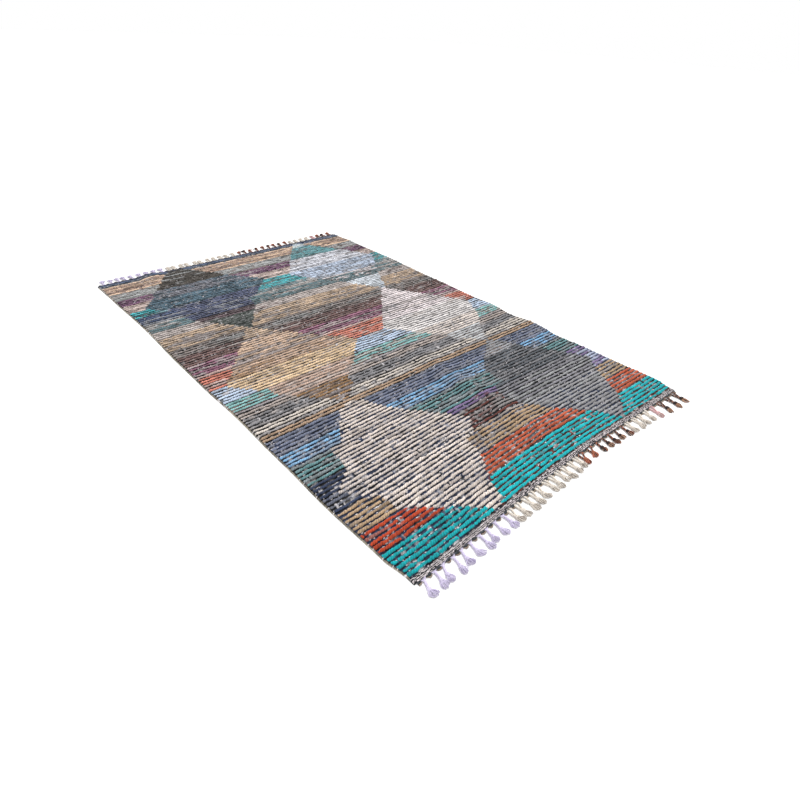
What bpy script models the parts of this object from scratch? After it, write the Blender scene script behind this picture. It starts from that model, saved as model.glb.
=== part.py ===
"""A hand-woven rug with raised ribs of thick yarn and a row of knotted tassels at both ends.

It lies flat on the floor, in metres: +X across it, +Y from its near end to its far end, +Z up.
The origin is on the floor, under the middle of the whole rug's box.
"""

import math
import random
from dataclasses import dataclass

import bmesh
import bpy
import numpy as np

# The cloth, without its tassels
WIDTH = 1.52
LENGTH = 2.392
END_STRIP = 0.020
PIECE_GAP = 0.0003
FIELD_LENGTH = LENGTH - 2 * (END_STRIP + PIECE_GAP)

# The raised ribs, each with a flat top between two shoulders
RIB_COUNT = 130
GROUND_HEIGHT = 0.0045
RIB_HEIGHT = 0.0048
STRIP_HEIGHT = 0.0050
SHOULDER_PLACES = (0.30, 0.70)

# The cloth's corners across, as shares of its width: closer together where it ripples
COLUMNS = (0.0, 0.12, 0.175, 0.23, 0.44, 0.50, 0.552, 0.605, 0.70, 1.0)
RIBS_PER_BEND = 5

# How unlike one another the tassels are
TASSEL_SHORTEST = 0.86
LEAN_SPREAD = 0.005
BRUSH_NARROWEST = 0.82
NEAR_SEED = 11
FAR_SEED = 23


@dataclass(frozen=True)
class Bend:
    """A place where a side of the cloth stands out of its straight line, or in where out is below zero."""

    along: float
    reach: float
    out: float


@dataclass(frozen=True)
class Wave:
    """A soft rise in the cloth, or a place where its weft rows bow towards the far end."""

    across: float
    along: float
    half_wide: float
    half_long: float
    rise: float


@dataclass(frozen=True)
class Section:
    """One place along a tassel: its share of the length, and how wide and high the yarn is there."""

    share: float
    width: float
    height: float


@dataclass(frozen=True)
class Run:
    """A run of like tassels along an end, from the middle of its first to the middle of its last."""

    first: float
    last: float
    count: int
    legs: int
    root_width: float
    half_spread: float
    longest: float
    first_lean: float
    last_lean: float


LEFT_BENDS = (
    Bend(along=0.00, reach=0.04, out=-0.011),
    Bend(along=0.15, reach=0.10, out=0.005),
    Bend(along=0.39, reach=0.10, out=-0.005),
    Bend(along=0.76, reach=0.16, out=-0.007),
    Bend(along=1.00, reach=0.08, out=0.004),
)
RIGHT_BENDS = (
    Bend(along=0.00, reach=0.03, out=-0.013),
    Bend(along=0.04, reach=0.05, out=0.004),
    Bend(along=0.24, reach=0.05, out=-0.007),
    Bend(along=0.31, reach=0.06, out=0.014),
    Bend(along=0.37, reach=0.05, out=-0.006),
    Bend(along=0.43, reach=0.06, out=0.010),
    Bend(along=0.58, reach=0.08, out=0.004),
    Bend(along=0.77, reach=0.14, out=0.008),
    Bend(along=1.00, reach=0.07, out=-0.009),
)

# The long ridge right of the middle, the two low swells past its far end, and the far hump
RIPPLES = (
    Wave(across=0.552, along=0.22, half_wide=0.055, half_long=0.27, rise=0.0090),
    Wave(across=0.440, along=0.45, half_wide=0.055, half_long=0.08, rise=0.0050),
    Wave(across=0.605, along=0.46, half_wide=0.050, half_long=0.09, rise=0.0040),
    Wave(across=0.175, along=0.98, half_wide=0.055, half_long=0.06, rise=0.0110),
)
# The wefts bow inwards at the near end's middle, and lag a rib behind along the right side
WEFT_BOWS = (
    Wave(across=0.52, along=0.00, half_wide=0.50, half_long=0.42, rise=0.025),
    Wave(across=1.00, along=0.60, half_wide=0.55, half_long=0.50, rise=-0.018),
)

# A tassel on one cord: cord, knot, neck and brush
CORD_TASSEL = (
    Section(share=0.50, width=0.0078, height=0.0065),
    Section(share=0.58, width=0.0140, height=0.0100),
    Section(share=0.67, width=0.0120, height=0.0075),
    Section(share=0.88, width=0.0270, height=0.0085),
    Section(share=1.00, width=0.0230, height=0.0035),
)
# A tassel whose two thin cords meet in its knot
PAIR_TASSEL = (
    Section(share=0.48, width=0.0095, height=0.0060),
    Section(share=0.57, width=0.0135, height=0.0090),
    Section(share=0.67, width=0.0120, height=0.0068),
    Section(share=0.88, width=0.0245, height=0.0080),
    Section(share=1.00, width=0.0210, height=0.0033),
)

NEAR_RUNS = (
    Run(0.022, 0.250, 10, legs=1, root_width=0.011, half_spread=0.0,
        longest=0.071, first_lean=-0.021, last_lean=-0.006),
    Run(0.275, 0.523, 11, legs=2, root_width=0.006, half_spread=0.009,
        longest=0.070, first_lean=-0.004, last_lean=-0.008),
    Run(0.548, 0.584, 2, legs=2, root_width=0.007, half_spread=0.013,
        longest=0.060, first_lean=-0.014, last_lean=-0.016),
    Run(0.612, 0.722, 5, legs=1, root_width=0.009, half_spread=0.0,
        longest=0.065, first_lean=-0.013, last_lean=-0.011),
    Run(0.748, 0.834, 4, legs=2, root_width=0.006, half_spread=0.010,
        longest=0.073, first_lean=-0.014, last_lean=-0.018),
    Run(0.864, 0.978, 4, legs=2, root_width=0.007, half_spread=0.011,
        longest=0.084, first_lean=-0.024, last_lean=-0.002),
)
FAR_RUNS = (
    Run(0.022, 0.228, 9, legs=1, root_width=0.011, half_spread=0.0,
        longest=0.064, first_lean=-0.006, last_lean=-0.006),
    Run(0.254, 0.514, 11, legs=2, root_width=0.006, half_spread=0.009,
        longest=0.064, first_lean=-0.004, last_lean=-0.004),
    Run(0.540, 0.756, 9, legs=1, root_width=0.009, half_spread=0.0,
        longest=0.064, first_lean=0.004, last_lean=0.004),
    Run(0.784, 0.864, 4, legs=2, root_width=0.006, half_spread=0.009,
        longest=0.064, first_lean=0.0, last_lean=0.0),
    Run(0.894, 0.978, 4, legs=2, root_width=0.007, half_spread=0.010,
        longest=0.064, first_lean=0.003, last_lean=0.003),
)


def swell(distance: float) -> float:
    """A smooth bump: 1 in its middle, 0 at a distance of 1 and beyond."""
    return max(0.0, 1.0 - distance * distance) ** 2


def rise_at(waves: tuple[Wave, ...], across: float, along: float) -> float:
    """The summed rise of the waves at a place on the cloth."""
    return sum(
        wave.rise
        * swell((across - wave.across) / wave.half_wide)
        * swell((along - wave.along) / wave.half_long)
        for wave in waves
    )


def rise_on_columns(waves: tuple[Wave, ...], across: float, along: float) -> float:
    """The same rise, straight from one column of the cloth to the next, as its solid has it."""
    return float(np.interp(across, COLUMNS, [rise_at(waves, column, along) for column in COLUMNS]))


def side_out(bends: tuple[Bend, ...], along: float) -> float:
    """How far a side stands out here, straight between two of the outline's corners."""
    corners = np.linspace(0.0, 1.0, RIB_COUNT // RIBS_PER_BEND + 1)
    outs = [sum(bend.out * swell((place - bend.along) / bend.reach) for bend in bends) for place in corners]
    return float(np.interp(along, corners, outs))


def place_across(across: float, along: float) -> float:
    """X of a place that is a share of the way from the left side to the right side."""
    left = -WIDTH / 2 - side_out(LEFT_BENDS, along)
    right = WIDTH / 2 + side_out(RIGHT_BENDS, along)
    return left + (right - left) * across


def place_along(across: float, along: float) -> float:
    """Y of a place on the field, whose weft rows bow a little."""
    return FIELD_LENGTH * (along - 0.5) + rise_on_columns(WEFT_BOWS, across, along)


def close_down_to_floor(bm: bmesh.types.BMesh) -> None:
    """Turns an open top surface into a closed slab with a flat underside on the floor."""
    rim = [edge for edge in bm.edges if edge.is_boundary]
    walls = bmesh.ops.extrude_edge_only(bm, edges=rim)["geom"]
    for item in walls:
        if isinstance(item, bmesh.types.BMVert):
            item.co.z = 0.0
    bmesh.ops.edgeloop_fill(bm, edges=[edge for edge in bm.edges if edge.is_boundary])
    bmesh.ops.recalc_face_normals(bm, faces=bm.faces)


def field_mesh() -> bmesh.types.BMesh:
    """The woven field: ribs across its top, a flat underside, and its own uneven sides."""
    bm = bmesh.new()
    rows_per_rib = 1 + len(SHOULDER_PLACES)
    row_count = RIB_COUNT * rows_per_rib
    column_count = len(COLUMNS) - 1
    bmesh.ops.create_grid(bm, x_segments=column_count, y_segments=row_count, size=1.0)
    for vert in bm.verts:
        across = COLUMNS[round((vert.co.x + 1) / 2 * column_count)]
        rib, row = divmod(round((vert.co.y + 1) / 2 * row_count), rows_per_rib)
        along = (rib + (0.0, *SHOULDER_PLACES)[row]) / RIB_COUNT
        vert.co.x = place_across(across, along)
        vert.co.y = place_along(across, along)
        vert.co.z = GROUND_HEIGHT + (RIB_HEIGHT if row else 0.0) + rise_at(RIPPLES, across, along)
    close_down_to_floor(bm)
    thin_out_walls(bm)
    return bm


def thin_out_walls(bm: bmesh.types.BMesh) -> None:
    """Joins the side walls' and the underside's faces that lie in one plane, and their straight edges."""
    flat = [face for face in bm.faces if abs(face.normal.z) < 0.01 or face.normal.z < -0.99]
    edges = {edge for face in flat for edge in face.edges if all(other in flat for other in edge.link_faces)}
    floor_verts = {vert for edge in edges for vert in edge.verts if vert.co.z == 0.0}
    bmesh.ops.dissolve_limit(
        bm,
        angle_limit=math.radians(0.05),
        use_dissolve_boundaries=False,
        verts=list(floor_verts),
        edges=list(edges),
    )
    bmesh.ops.triangulate(bm, faces=[face for face in bm.faces if len(face.verts) > 4], ngon_method="BEAUTY")


@dataclass
class Tassel:
    """One tassel's place on its end: where it starts, and how far and which way it reaches."""

    across: float
    run: Run
    length: float
    lean: float
    brush: float

    def root_places(self) -> list[float]:
        """The middle of each leg's root, in metres from the tassel's own middle."""
        return [0.0] if self.run.legs == 1 else [-self.run.half_spread, self.run.half_spread]


def tassels_of(runs: tuple[Run, ...], seed: int) -> list[Tassel]:
    """All tassels of one end, each a little unlike its neighbours."""
    chance = random.Random(seed)
    tassels = []
    for run in runs:
        leans = np.linspace(run.first_lean, run.last_lean, run.count)
        for across, lean in zip(np.linspace(run.first, run.last, run.count), leans):
            tassels.append(
                Tassel(
                    across=float(across),
                    run=run,
                    length=run.longest * chance.uniform(TASSEL_SHORTEST, 1.0),
                    lean=float(lean) + chance.uniform(-LEAN_SPREAD, LEAN_SPREAD),
                    brush=chance.uniform(BRUSH_NARROWEST, 1.0),
                )
            )
    return tassels


def strip_breaks(tassels: list[Tassel], along: float) -> tuple[list[float], dict[int, tuple[int, int]]]:
    """X of every corner along the strip, and which two corners each leg's root lies between."""
    breaks = [place_across(0.0, along)]
    roots = {}
    for tassel in tassels:
        middle = place_across(tassel.across, along)
        for leg, place in enumerate(tassel.root_places()):
            roots[len(breaks)] = (tassels.index(tassel), leg)
            breaks += [middle + place - tassel.run.root_width / 2, middle + place + tassel.run.root_width / 2]
    breaks.append(place_across(1.0, along))
    return breaks, roots


def draw_out(
    bm: bmesh.types.BMesh, faces: list, middle: float, y: float, width: float, height: float
) -> list:
    """Extrudes end faces of the yarn to the next section, which rests on the floor.

    Gives the new end faces.
    """
    made = bmesh.ops.extrude_face_region(bm, geom=faces)["geom"]
    bmesh.ops.delete(bm, geom=faces, context="FACES")
    verts = [item for item in made if isinstance(item, bmesh.types.BMVert)]
    xs = [vert.co.x for vert in verts]
    half = (max(xs) - min(xs)) / 2
    centre = min(xs) + half
    for vert in verts:
        vert.co.x = middle + (vert.co.x - centre) / half * width / 2
        vert.co.y = y
        vert.co.z = height if vert.co.z > 0.0 else 0.0
    return [item for item in made if isinstance(item, bmesh.types.BMFace)]


def draw_out_tassel(
    bm: bmesh.types.BMesh, legs: list, tassel: Tassel, middle: float, edge: float, out: float
) -> None:
    """Draws one tassel out of its roots: its one cord or its two, then the knot and the brush."""
    sections = CORD_TASSEL if tassel.run.legs == 1 else PAIR_TASSEL
    meeting = sections[0]
    leg_width = meeting.width / len(legs)
    ends = []
    for number, face in enumerate(legs):
        side = leg_width * (number - (len(legs) - 1) / 2)
        x = middle + tassel.lean * meeting.share + side
        ends += draw_out(bm, [face], x, edge + out * tassel.length * meeting.share, leg_width, meeting.height)
    if len(legs) > 1:
        corners = list({vert for face in ends for vert in face.verts})
        bmesh.ops.remove_doubles(bm, verts=corners, dist=1e-5)
    for section in sections[1:]:
        brush = tassel.brush if section.share > 0.7 else 1.0
        x = middle + tassel.lean * section.share
        y = edge + out * tassel.length * section.share
        ends = draw_out(bm, ends, x, y, section.width * brush, section.height)


def fringe_mesh(runs: tuple[Run, ...], seed: int, along: float) -> bmesh.types.BMesh:
    """An end's plain-woven strip with its row of tassels; along is 0 at the near end and 1 at the far end."""
    out = 1.0 if along > 0.5 else -1.0
    tassels = tassels_of(runs, seed)
    breaks, roots = strip_breaks(tassels, along)
    left, right = breaks[0], breaks[-1]
    bm = bmesh.new()
    bmesh.ops.create_grid(bm, x_segments=len(breaks) - 1, y_segments=1, size=1.0)
    for vert in bm.verts:
        x = breaks[round((vert.co.x + 1) / 2 * (len(breaks) - 1))]
        across = (x - left) / (right - left)
        is_outer = vert.co.y * out > 0
        vert.co.x = x
        vert.co.y = place_along(across, along) + out * (PIECE_GAP + (END_STRIP if is_outer else 0.0))
        vert.co.z = STRIP_HEIGHT + rise_on_columns(RIPPLES, across, along)
    close_down_to_floor(bm)
    outer = [face for face in bm.faces if face.normal.y * out > 0.5 and abs(face.normal.z) < 0.1]
    outer.sort(key=lambda face: face.calc_center_median().x)
    for number, tassel in enumerate(tassels):
        middle = place_across(tassel.across, along)
        edge = place_along(tassel.across, along) + out * (PIECE_GAP + END_STRIP)
        legs = [outer[corner] for corner, (owner, _) in roots.items() if owner == number]
        draw_out_tassel(bm, legs, tassel, middle, edge, out)
    bmesh.ops.recalc_face_normals(bm, faces=bm.faces)
    return bm


def yarn_material(name: str, red: float, green: float, blue: float, roughness: float) -> bpy.types.Material:
    """A plain wool or cotton finish in one colour."""
    material = bpy.data.materials.new(name)
    material.use_nodes = True
    shader = material.node_tree.nodes["Principled BSDF"]
    shader.inputs["Base Color"].default_value = (red, green, blue, 1.0)
    shader.inputs["Roughness"].default_value = roughness
    shader.inputs["Metallic"].default_value = 0.0
    return material


def add_piece(name: str, bm: bmesh.types.BMesh, material: bpy.types.Material, rug: bpy.types.Collection):
    """Makes one named object of a finished mesh."""
    mesh = bpy.data.meshes.new(name)
    bm.to_mesh(mesh)
    bm.free()
    mesh.materials.append(material)
    piece = bpy.data.objects.new(name, mesh)
    rug.objects.link(piece)
    return piece


def centre_on_origin(pieces: list) -> None:
    """Moves the meshes together so that the origin is under the middle of their box."""
    points = np.array([vert.co for piece in pieces for vert in piece.data.vertices])
    middle = (points.min(axis=0) + points.max(axis=0)) / 2
    for piece in pieces:
        for vert in piece.data.vertices:
            vert.co.x -= middle[0]
            vert.co.y -= middle[1]


def main() -> None:
    """Clears the scene and builds the rug."""
    for item in list(bpy.data.objects):
        bpy.data.objects.remove(item, do_unlink=True)
    rug = bpy.data.collections.new("ribbed_rug")
    bpy.context.scene.collection.children.link(rug)
    wool = yarn_material("ribbed_wool", 0.20, 0.19, 0.18, roughness=0.95)
    cotton = yarn_material("fringe_cotton", 0.62, 0.58, 0.54, roughness=0.9)
    dark_cotton = yarn_material("fringe_wool", 0.55, 0.50, 0.47, roughness=0.9)
    near_fringe = fringe_mesh(NEAR_RUNS, NEAR_SEED, along=0.0)
    far_fringe = fringe_mesh(FAR_RUNS, FAR_SEED, along=1.0)
    pieces = [
        add_piece("rug_field", field_mesh(), wool, rug),
        add_piece("near_fringe", near_fringe, cotton, rug),
        add_piece("far_fringe", far_fringe, dark_cotton, rug),
    ]
    centre_on_origin(pieces)


main()
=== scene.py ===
"""The looks of a hand-woven ribbed rug with knotted tassels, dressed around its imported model.

Thick soft wool lies in raised ribs over a dark speckled plain weave. Its colour changes in bands
along the rug, and six stepped lozenges lie over the bands. Places on the cloth are given by two
numbers: across, the share of the width from the left side, and the rib's number from the near end.
"""

from __future__ import annotations

import logging
import math
import random
from dataclasses import dataclass, field, replace
from enum import Enum
from functools import cache

import bmesh
import bpy
import numpy as np
from mathutils import Matrix, Vector


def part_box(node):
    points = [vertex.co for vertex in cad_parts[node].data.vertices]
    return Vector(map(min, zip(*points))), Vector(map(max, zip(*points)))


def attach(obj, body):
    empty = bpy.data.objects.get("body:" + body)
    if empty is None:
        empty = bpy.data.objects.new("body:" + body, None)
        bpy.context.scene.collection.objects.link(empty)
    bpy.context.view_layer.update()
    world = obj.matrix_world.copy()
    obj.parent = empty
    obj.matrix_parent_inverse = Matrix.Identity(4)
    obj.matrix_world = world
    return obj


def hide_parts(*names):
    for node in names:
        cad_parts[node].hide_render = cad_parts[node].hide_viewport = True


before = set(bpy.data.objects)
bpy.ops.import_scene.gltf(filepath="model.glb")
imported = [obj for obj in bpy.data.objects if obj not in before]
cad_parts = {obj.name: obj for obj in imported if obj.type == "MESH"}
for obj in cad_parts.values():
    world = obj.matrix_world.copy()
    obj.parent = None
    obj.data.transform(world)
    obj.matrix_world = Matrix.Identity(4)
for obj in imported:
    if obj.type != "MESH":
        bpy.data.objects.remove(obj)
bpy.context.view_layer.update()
BODY = "root"
MM = 0.001
# The length of one wave of a wave texture whose scale is 1
WAVE_LENGTH = 0.314
# How strong each smooth unevenness of a yarn is, and the millimetres over which it changes
Drifts = tuple[tuple[float, float], ...]

log = logging.getLogger("rug")


class Wool(Enum):
    """The yarns of the ribs and of the ground, each by the colour of its dye."""

    TURQUOISE = "#009BA2"
    DEEP_TURQUOISE = "#008E94"
    BRICK = "#AE5031"
    DEEP_BRICK = "#9E381B"
    OCHRE = "#A0876B"
    NAVY = "#2C354C"
    BROWN = "#5C2F27"
    PURPLE = "#746387"
    SEA_GREEN = "#5D8285"
    SKY = "#78A4C8"
    DENIM = "#676D7F"
    GOLD_BROWN = "#A88E77"
    ECRU = "#C0B7AE"
    IRON = "#7F7E81"
    OATMEAL = "#A49993"
    TEAL = "#7EACAB"
    PERIWINKLE = "#B0BFD3"
    DARK_RED = "#C57B6A"
    PLUM = "#8E6175"
    UMBER = "#705956"
    PEAT = "#887E7A"
    SAND = "#B19B85"
    ROSE_GREY = "#ADA4A0"
    GREY_GREEN = "#627A80"
    SLATE_LILAC = "#47536F"
    JADE = "#48A1A8"
    PEACH = "#C2B0A9"
    AUBERGINE = "#72526A"
    FOG = "#959797"
    APRICOT = "#C6AB94"
    SLATE_BLUE = "#53607A"
    CREAM = "#C7BBB2"
    BLUE_GREY = "#89888A"
    PEWTER = "#79787E"
    CHARCOAL = "#585C62"
    SILVER_LILAC = "#898B8F"
    AMBER = "#8A6B4B"
    BLUSH_BEIGE = "#B19889"
    MAIZE = "#CFB492"
    BRONZE = "#B59A85"
    TAN = "#C2A791"
    FAWN = "#C8B099"
    COOL_WHITE = "#B9BBBD"
    IVORY = "#CFC4BC"
    PEARL = "#D7D2D0"
    CHALK = "#E0D5D6"
    DARK_MOSS = "#424844"
    BLACK_PLUM = "#625458"
    INK_BLUE = "#555B73"
    DEEP_TEAL = "#526774"
    STEEL = "#777880"
    OLIVE_BLACK = "#4B4641"
    ICE = "#C6CCD3"
    LAVENDER = "#AFBBCD"
    LILAC_WHITE = "#C7C8CF"
    POOL = "#5E9197"
    PALE_STEEL = "#BEC9C6"
    WHITE_FLECK = "#D8D4D6"
    BLACK = "#1B1C20"
    NIGHT_BLUE = "#2B3450"
    MOSS_BLACK = "#2C302C"
    DRIFTWOOD = "#8C8474"
    LILAC_SHADE = "#AFA4C4"
    LILAC = "#D8D0E6"
    UNDYED = "#E6DDD0"
    TERRACOTTA = "#C86A4C"
    RUST = "#A05A40"
    CHOCOLATE = "#3E2E2A"
    PINK = "#DDB4B8"
    COCOA = "#8A6456"
    CAMEL = "#C09878"


def linear(dye: Wool) -> np.ndarray:
    """A dye's sRGB hex colour as three linear numbers."""
    parts = np.array([int(dye.value[place : place + 2], 16) / 255.0 for place in (1, 3, 5)])
    return np.where(parts <= 0.04045, parts / 12.92, ((parts + 0.055) / 1.055) ** 2.4)


def swell(distance: np.ndarray) -> np.ndarray:
    """A smooth bump: 1 in its middle, 0 at a distance of 1 and beyond."""
    return np.maximum(0.0, 1.0 - distance * distance) ** 2


def ramp(values: np.ndarray, start: float, steepness: float) -> np.ndarray:
    """Rises from 0 where the values pass the start, and stays at 1."""
    return np.clip((values - start) * steepness, 0.0, 1.0)


def placed(name: str, data: bpy.types.ID) -> bpy.types.Object:
    """A new object in the scene: a mesh, curve, light or camera."""
    thing = bpy.data.objects.new(name, data)
    bpy.context.scene.collection.objects.link(thing)
    return thing


@dataclass(frozen=True)
class Bend:
    """A place where a side of the cloth stands out of its straight line, in where out is below zero."""

    along: float
    reach: float
    out: float


@dataclass(frozen=True)
class Wave:
    """A soft rise in the cloth, or a place where its wefts bow towards the far end."""

    across: float
    along: float
    half_wide: float
    half_long: float
    rise: float

    def at(self, across: np.ndarray, along: np.ndarray) -> np.ndarray:
        """How much of the rise there is at places on the cloth."""
        beside = swell((across - self.across) / self.half_wide)
        return self.rise * beside * swell((along - self.along) / self.half_long)


@dataclass(frozen=True)
class Cloth:
    """Where every place of the cloth lies in the model's frame. Its sizes repeat the model's."""

    width: float = 1.52
    length: float = 2.392
    end_strip: float = 0.020
    gap: float = 0.0003
    rib_count: int = 130
    ground_height: float = 0.0045
    left_bends: tuple[Bend, ...] = (
        Bend(0.00, 0.04, -0.011),
        Bend(0.15, 0.10, 0.005),
        Bend(0.39, 0.10, -0.005),
        Bend(0.76, 0.16, -0.007),
        Bend(1.00, 0.08, 0.004),
    )
    right_bends: tuple[Bend, ...] = (
        Bend(0.00, 0.03, -0.013),
        Bend(0.04, 0.05, 0.004),
        Bend(0.24, 0.05, -0.007),
        Bend(0.31, 0.06, 0.014),
        Bend(0.37, 0.05, -0.006),
        Bend(0.43, 0.06, 0.010),
        Bend(0.58, 0.08, 0.004),
        Bend(0.77, 0.14, 0.008),
        Bend(1.00, 0.07, -0.009),
    )
    ripples: tuple[Wave, ...] = (
        Wave(0.552, 0.22, 0.055, 0.27, 0.0090),
        Wave(0.440, 0.45, 0.055, 0.08, 0.0050),
        Wave(0.605, 0.46, 0.050, 0.09, 0.0040),
        Wave(0.175, 0.98, 0.055, 0.06, 0.0110),
    )
    weft_bows: tuple[Wave, ...] = (
        Wave(0.52, 0.00, 0.50, 0.42, 0.025),
        Wave(1.00, 0.60, 0.55, 0.50, -0.018),
    )

    @property
    def field_length(self) -> float:
        """The length of the ribbed field, without the strips at its ends."""
        return self.length - 2 * (self.end_strip + self.gap)

    @property
    def pitch(self) -> float:
        """The distance from one rib to the next."""
        return self.field_length / self.rib_count

    def side_out(self, bends: tuple[Bend, ...], along: np.ndarray) -> np.ndarray:
        """How far a side stands out at shares of the field's length."""
        return sum(bend.out * swell((along - bend.along) / bend.reach) for bend in bends)

    @cache
    def frame_shift(self) -> np.ndarray:
        """How far the model's origin is from the middle of the cloth, read from the model's field.

        Returns:
            The X and Y that bring a place on the centred cloth to the model's frame.
        """
        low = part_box("rug_field")[0]
        along = np.linspace(0.0, 1.0, 1 + self.rib_count // 5)
        left = -self.width / 2 - self.side_out(self.left_bends, along).max()
        near = -self.field_length / 2 + min(
            sum(wave.at(np.array(across), np.array(0.0)) for wave in self.weft_bows) for across in (0.0, 1.0)
        )
        return np.array([low.x - left, low.y - near])

    def places(self, across: np.ndarray, rib: np.ndarray) -> tuple[np.ndarray, np.ndarray, np.ndarray]:
        """Where places of the cloth lie.

        Args:
            across: Shares of the width from the left side.
            rib: Rib numbers, below 0 on the near strip and over the rib count on the far one.

        Returns:
            X and Y in the model's frame, and how high the cloth is lifted off the floor.
        """
        inside = np.clip(rib, 0.0, self.rib_count)
        along = inside / self.rib_count
        left = -self.width / 2 - self.side_out(self.left_bends, along)
        right = self.width / 2 + self.side_out(self.right_bends, along)
        bow = sum(wave.at(across, along) for wave in self.weft_bows)
        lift = sum(wave.at(across, along) for wave in self.ripples)
        shift = self.frame_shift()
        x = left + (right - left) * across + shift[0]
        y = self.field_length * (along - 0.5) + bow + (rib - inside) * self.pitch + shift[1]
        return x, y, lift


CLOTH = Cloth()


@dataclass(frozen=True)
class Band:
    """A stretch of ribs in one wool, over the whole width or between two places across.

    Attributes:
        start: The first rib.
        end: The rib past the last.
        wool: The yarn of the ribs.
        ground: The yarn that shows between them.
        second: A yarn that is spun in here and there, in short stretches.
        share: The share of the ribs' length in which it mostly covers the first.
        left: Where the stretch begins across.
        right: Where it ends.
        full: How wide the yarn lies, as a share of its usual width.
        fleck: How strongly pale threads show in the ground.
    """

    start: float
    end: float
    wool: Wool
    ground: Wool = Wool.NAVY
    second: Wool = Wool.WHITE_FLECK
    share: float = 0.04
    left: float = 0.0
    right: float = 1.0
    full: float = 1.0
    fleck: float = 0.32


BANDS = (
    Band(0, 6, Wool.TURQUOISE, Wool.BROWN, Wool.CHARCOAL, 0.05, full=1.14, fleck=0.55),
    Band(0, 6, Wool.DEEP_TURQUOISE, Wool.NAVY, Wool.BLACK, 0.08, right=0.22, full=1.12, fleck=0.65),
    Band(6, 11, Wool.BRICK, Wool.CHARCOAL, Wool.UMBER, 0.08, full=1.05, fleck=0.60),
    Band(6, 11, Wool.DEEP_BRICK, Wool.NAVY, Wool.UMBER, 0.10, right=0.20, full=1.10, fleck=0.60),
    Band(11, 17, Wool.OCHRE, Wool.NAVY, Wool.BLUE_GREY, 0.20, fleck=0.45),
    Band(17, 25, Wool.NAVY, Wool.BLACK, Wool.STEEL, 0.10, fleck=1.00),
    Band(17, 23, Wool.BROWN, Wool.BLACK, Wool.FOG, 0.15, left=0.30, right=0.80, fleck=0.40),
    Band(23, 25, Wool.PURPLE, Wool.NAVY, Wool.BROWN, 0.25, left=0.30, right=0.80),
    Band(16, 25, Wool.PURPLE, Wool.INK_BLUE, Wool.LAVENDER, 0.30, left=0.80),
    Band(25, 31, Wool.SEA_GREEN, Wool.BLACK, Wool.IRON, 0.20, fleck=0.40),
    Band(31, 35, Wool.SKY, Wool.NAVY, Wool.STEEL, 0.30, fleck=0.40),
    Band(35, 40, Wool.DENIM, Wool.NAVY, Wool.STEEL, 0.25, fleck=0.40),
    Band(40, 42, Wool.GOLD_BROWN, Wool.BLACK, Wool.BROWN, 0.15),
    Band(42, 46, Wool.ECRU, Wool.BLACK, Wool.PEWTER, 0.25),
    Band(46, 49, Wool.IRON, Wool.BLACK, Wool.ROSE_GREY, 0.25, fleck=0.80),
    Band(49, 52, Wool.OATMEAL, Wool.BLACK, Wool.PEWTER, 0.30),
    Band(52, 56, Wool.TEAL, Wool.UMBER, Wool.OATMEAL, 0.25, right=0.20),
    Band(52, 56, Wool.TEAL, Wool.UMBER, Wool.OATMEAL, 0.45, left=0.20),
    Band(56, 62, Wool.PERIWINKLE, Wool.CHARCOAL, Wool.ROSE_GREY, 0.25),
    Band(62, 69, Wool.DARK_RED, Wool.BLACK, Wool.ROSE_GREY, 0.24, fleck=0.42),
    Band(69, 74, Wool.PLUM, Wool.BLACK, Wool.ROSE_GREY, 0.25, fleck=0.50),
    Band(74, 79, Wool.UMBER, Wool.BLACK, Wool.ROSE_GREY, 0.22, fleck=0.45),
    Band(79, 83, Wool.PEAT, Wool.BLACK, Wool.FOG, 0.40, fleck=0.50),
    Band(83, 90, Wool.SAND, Wool.PEAT, Wool.STEEL, 0.28),
    Band(90, 94, Wool.ROSE_GREY, Wool.PEAT, Wool.UMBER, 0.20),
    Band(94, 102, Wool.GREY_GREEN, Wool.PEAT, Wool.ROSE_GREY, 0.30),
    Band(99, 104, Wool.SLATE_LILAC, Wool.BLACK, Wool.SILVER_LILAC, 0.35, right=0.20),
    Band(102, 108, Wool.JADE, Wool.PEAT, Wool.FOG, 0.30, left=0.20, fleck=0.45),
    Band(104, 108, Wool.JADE, Wool.BLACK, Wool.STEEL, 0.30, right=0.20),
    Band(108, 113, Wool.PEACH, Wool.PEAT, Wool.UMBER, 0.25),
    Band(113, 117, Wool.AUBERGINE, Wool.BLACK, Wool.ROSE_GREY, 0.15, fleck=0.60),
    Band(117, 122, Wool.FOG, Wool.PEAT, Wool.UMBER, 0.25),
    Band(122, 128, Wool.APRICOT, Wool.PEAT, Wool.UMBER, 0.22),
    Band(128, 131, Wool.SLATE_BLUE, Wool.FOG, Wool.BLACK, 0.25, fleck=0.45),
)


@dataclass(frozen=True)
class Lozenge:
    """One of the stepped lozenges, with its own bands of wool.

    Attributes:
        left: The corners of its left edge, from the near tip to the far one, as rib and across.
        right: The corners of its right edge.
        bands: Its own bands, whose left and right aren't used.
    """

    left: tuple[tuple[float, float], ...]
    right: tuple[tuple[float, float], ...]
    bands: tuple[Band, ...]

    def edges(self, rib: float) -> tuple[float, float]:
        """Where the lozenge begins and ends across on a rib."""
        places = [np.interp(rib, *zip(*side)) for side in (self.left, self.right)]
        return float(places[0]), float(places[1])


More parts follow.
